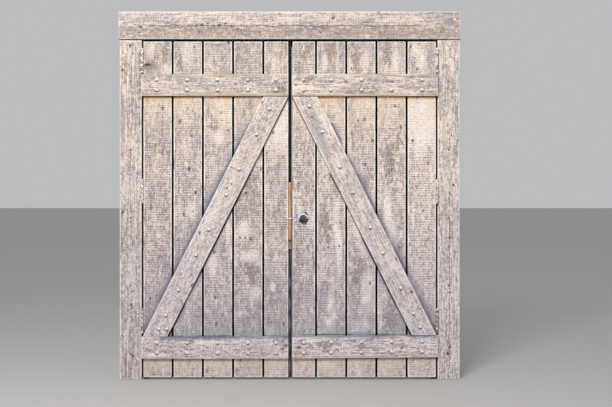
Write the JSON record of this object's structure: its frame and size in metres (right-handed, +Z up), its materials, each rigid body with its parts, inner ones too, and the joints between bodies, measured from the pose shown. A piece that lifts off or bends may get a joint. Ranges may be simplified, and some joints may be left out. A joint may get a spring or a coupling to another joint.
{
  "type": "double barn door with frame",
  "caption": "Double plank barn door that swings outward, with rails and diagonal braces, in a timber frame with butt hinges and a deadlock.",
  "frame": {"origin": "foot of the posts, midway across the header board and midway between the front of the bolt heads and the back of the posts", "axes": "+X to the viewer's right along the door, +Y from the viewer into the building, +Z up"},
  "size_m": [2.16, 0.157, 2.321],
  "materials": {
    "whitewashed_wood": "weathered",
    "pale_casing": "weathered",
    "frame_timber": "rough",
    "grey_strip": "weathered",
    "new_wood": "matt",
    "painted_bolt": "satin",
    "painted_hinge": "chipped",
    "rusty_steel": "matt",
    "zinc_steel": "satin",
    "lock_nickel": "worn",
    "brass": "worn"
  },
  "bodies": {
    "frame": {"header_board": "pale_casing", "left_casing_board": "pale_casing", "right_casing_board": "pale_casing", "left_post": "frame_timber", "right_post": "frame_timber", "head_beam": "frame_timber", "left_stop": "frame_timber", "right_stop": "frame_timber", "head_stop": "frame_timber", "frame_nails": "rusty_steel", "left_frame_hinge_leaves": "painted_hinge", "right_frame_hinge_leaves": "painted_hinge", "hinge_pins": "painted_hinge", "frame_hinge_screws": "rusty_steel"},
    "left_leaf": {"left_plank_1": "whitewashed_wood", "left_plank_2": "whitewashed_wood", "left_plank_3": "whitewashed_wood", "left_plank_4": "whitewashed_wood", "left_plank_5": "whitewashed_wood", "left_top_rail": "whitewashed_wood", "left_bottom_rail": "whitewashed_wood", "left_brace": "whitewashed_wood", "left_carriage_bolts": "painted_bolt", "left_washers": "zinc_steel", "left_nuts": "zinc_steel", "left_door_hinge_leaves": "painted_hinge", "left_door_hinge_screws": "rusty_steel", "upper_meeting_strip": "grey_strip", "lower_meeting_strip": "grey_strip", "strike_strip": "new_wood", "strike_plate": "lock_nickel", "left_fitting_screws": "zinc_steel", "head_bolt_guide": "zinc_steel", "foot_bolt_guide": "zinc_steel"},
    "right_leaf": {"right_plank_1": "whitewashed_wood", "right_plank_2": "whitewashed_wood", "right_plank_3": "whitewashed_wood", "right_plank_4": "whitewashed_wood", "right_plank_5": "whitewashed_wood", "right_top_rail": "whitewashed_wood", "right_bottom_rail": "whitewashed_wood", "right_brace": "whitewashed_wood", "right_carriage_bolts": "painted_bolt", "right_washers": "zinc_steel", "right_nuts": "zinc_steel", "right_door_hinge_leaves": "painted_hinge", "right_door_hinge_screws": "rusty_steel", "lock_collar": "lock_nickel", "lock_cylinder": "lock_nickel", "bolt_case": "zinc_steel", "inside_rose": "lock_nickel", "lock_mounting_screws": "zinc_steel"},
    "deadbolt": {"deadbolt": "lock_nickel"},
    "thumb_turn": {"thumb_turn": "lock_nickel", "tailpiece": "zinc_steel"},
    "key_plug": {"key_plug": "brass"},
    "head_bolt": {"head_bolt": "zinc_steel"},
    "foot_bolt": {"foot_bolt": "zinc_steel"}
  },
  "joints": [
    {"name": "left_leaf_swing", "type": "hinge", "parent": "frame", "child": "left_leaf", "pos_m": [-0.9285, -0.0585, 0], "axis": [0, 0, -1], "range_deg": [0, 105]},
    {"name": "right_leaf_swing", "type": "hinge", "parent": "frame", "child": "right_leaf", "pos_m": [0.9285, -0.0585, 0], "axis": [0, 0, 1], "range_deg": [0, 105]},
    {"name": "thumb_turn_rotation", "type": "hinge", "parent": "right_leaf", "child": "thumb_turn", "pos_m": [0.086, 0, 1.016], "axis": [0, 1, 0], "range_deg": [0, 90]},
    {"name": "deadbolt_slide", "type": "slide", "parent": "right_leaf", "child": "deadbolt", "axis": [-1, 0, 0], "range_m": [0, 0.025]},
    {"name": "key_plug_rotation", "type": "hinge", "parent": "right_leaf", "child": "key_plug", "pos_m": [0.086, 0, 1.016], "axis": [0, 1, 0], "range_deg": [-90, 90]},
    {"name": "head_bolt_slide", "type": "slide", "parent": "left_leaf", "child": "head_bolt", "axis": [0, 0, 1], "range_m": [0, 0.038]},
    {"name": "foot_bolt_slide", "type": "slide", "parent": "left_leaf", "child": "foot_bolt", "axis": [0, 0, -1], "range_m": [0, 0.038]}
  ],
  "couplings": [
    {"joint": "deadbolt_slide", "follows": "thumb_turn_rotation", "m_per_rad": 0.0159}
  ]
}
